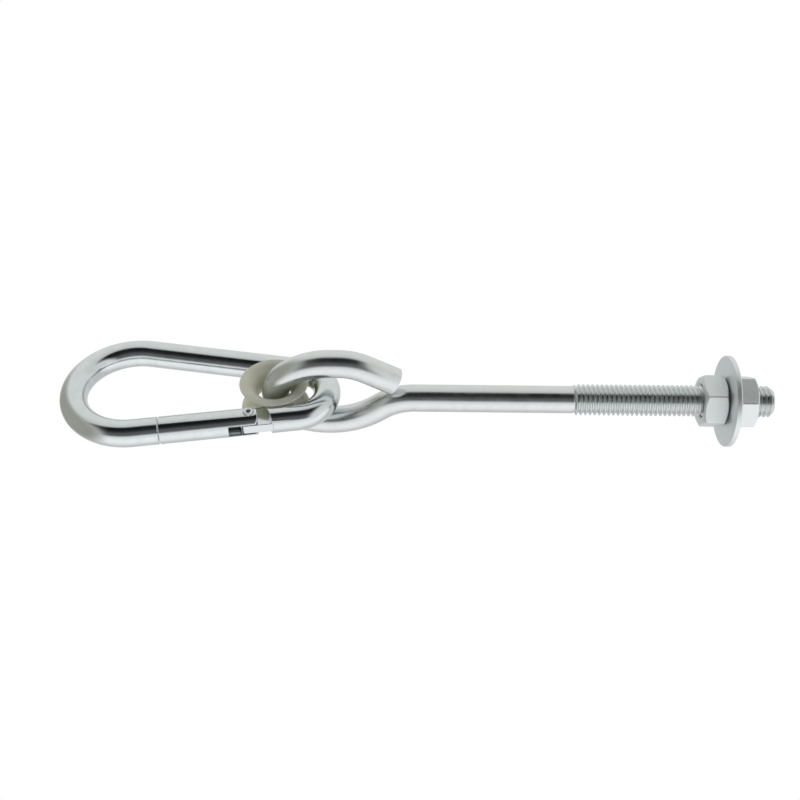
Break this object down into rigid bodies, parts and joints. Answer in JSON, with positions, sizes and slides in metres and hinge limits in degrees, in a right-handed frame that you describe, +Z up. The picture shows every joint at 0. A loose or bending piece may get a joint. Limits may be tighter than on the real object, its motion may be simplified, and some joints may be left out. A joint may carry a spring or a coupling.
{
  "type": "hammock hook",
  "caption": "Hammock hook: a long threaded eye bolt with nuts and a wide washer, and a pear-shaped snap hook that swings on a nylon bush in the open eye.",
  "frame": {"origin": "on the bolt's axis, at the face of the washer that bears on the beam", "axes": "+Z up along the bolt toward the threaded tip, as it hangs in use; +X toward the eye's cut end; +Y toward the snap hook's gate"},
  "size_m": [0.0387, 0.0536, 0.2647],
  "materials": {
    "zinc_plated_rod": "bright zinc plated",
    "zinc_plated_fastener": "bright zinc plated, slightly duller than the rod",
    "zinc_plated_wire": "bright zinc plated",
    "natural_nylon": "natural moulded nylon, milky",
    "rivet_steel": "zinc plated",
    "plain_steel": "plain spring steel"
  },
  "bodies": {
    "bolt": {"eye_bolt": "zinc_plated_rod"},
    "top_nut": {"outer_nut": "zinc_plated_fastener", "washer": "zinc_plated_fastener"},
    "lower_nut": {"inner_nut": "zinc_plated_fastener"},
    "bush": {"nylon_bush": "natural_nylon"},
    "hook": {"carabiner_body": "zinc_plated_wire"},
    "gate": {"gate": "zinc_plated_wire", "gate_pin": "rivet_steel", "gate_spring": "plain_steel"},
    "plunger": {"gate_plunger": "plain_steel"}
  },
  "joints": [
    {"name": "top_nut_travel", "type": "slide", "parent": "bolt", "child": "top_nut", "axis": [0, 0, 1], "range_m": [0, 0.016]},
    {"name": "lower_nut_travel", "type": "slide", "parent": "bolt", "child": "lower_nut", "axis": [0, 0, -1], "range_m": [0, 0.047]},
    {"name": "bush_sway", "type": "hinge", "parent": "bolt", "child": "bush", "pos_m": [0.00158, 0, -0.1559], "axis": [0, 1, 0], "range_deg": [-17, 20]},
    {"name": "hook_swing", "type": "hinge", "parent": "bush", "child": "hook", "pos_m": [0.00158, 0, -0.1676], "axis": [1, 0, 0], "range_deg": [-120, 120]},
    {"name": "gate_hinge", "type": "hinge", "parent": "hook", "child": "gate", "pos_m": [0.00158, 0.015, -0.17554], "axis": [-1, 0, 0], "range_deg": [0, 25], "stiffness_Nm_per_rad": 0.4, "springref_deg": -22.92},
    {"name": "plunger_travel", "type": "slide", "parent": "gate", "child": "plunger", "axis": [0, 0.156, -0.9878], "range_m": [0, 0.001], "deforming": ["gate_spring"]}
  ],
  "couplings": [
    {"joint": "plunger_travel", "follows": "gate_hinge", "m_per_rad": 0.002}
  ]
}
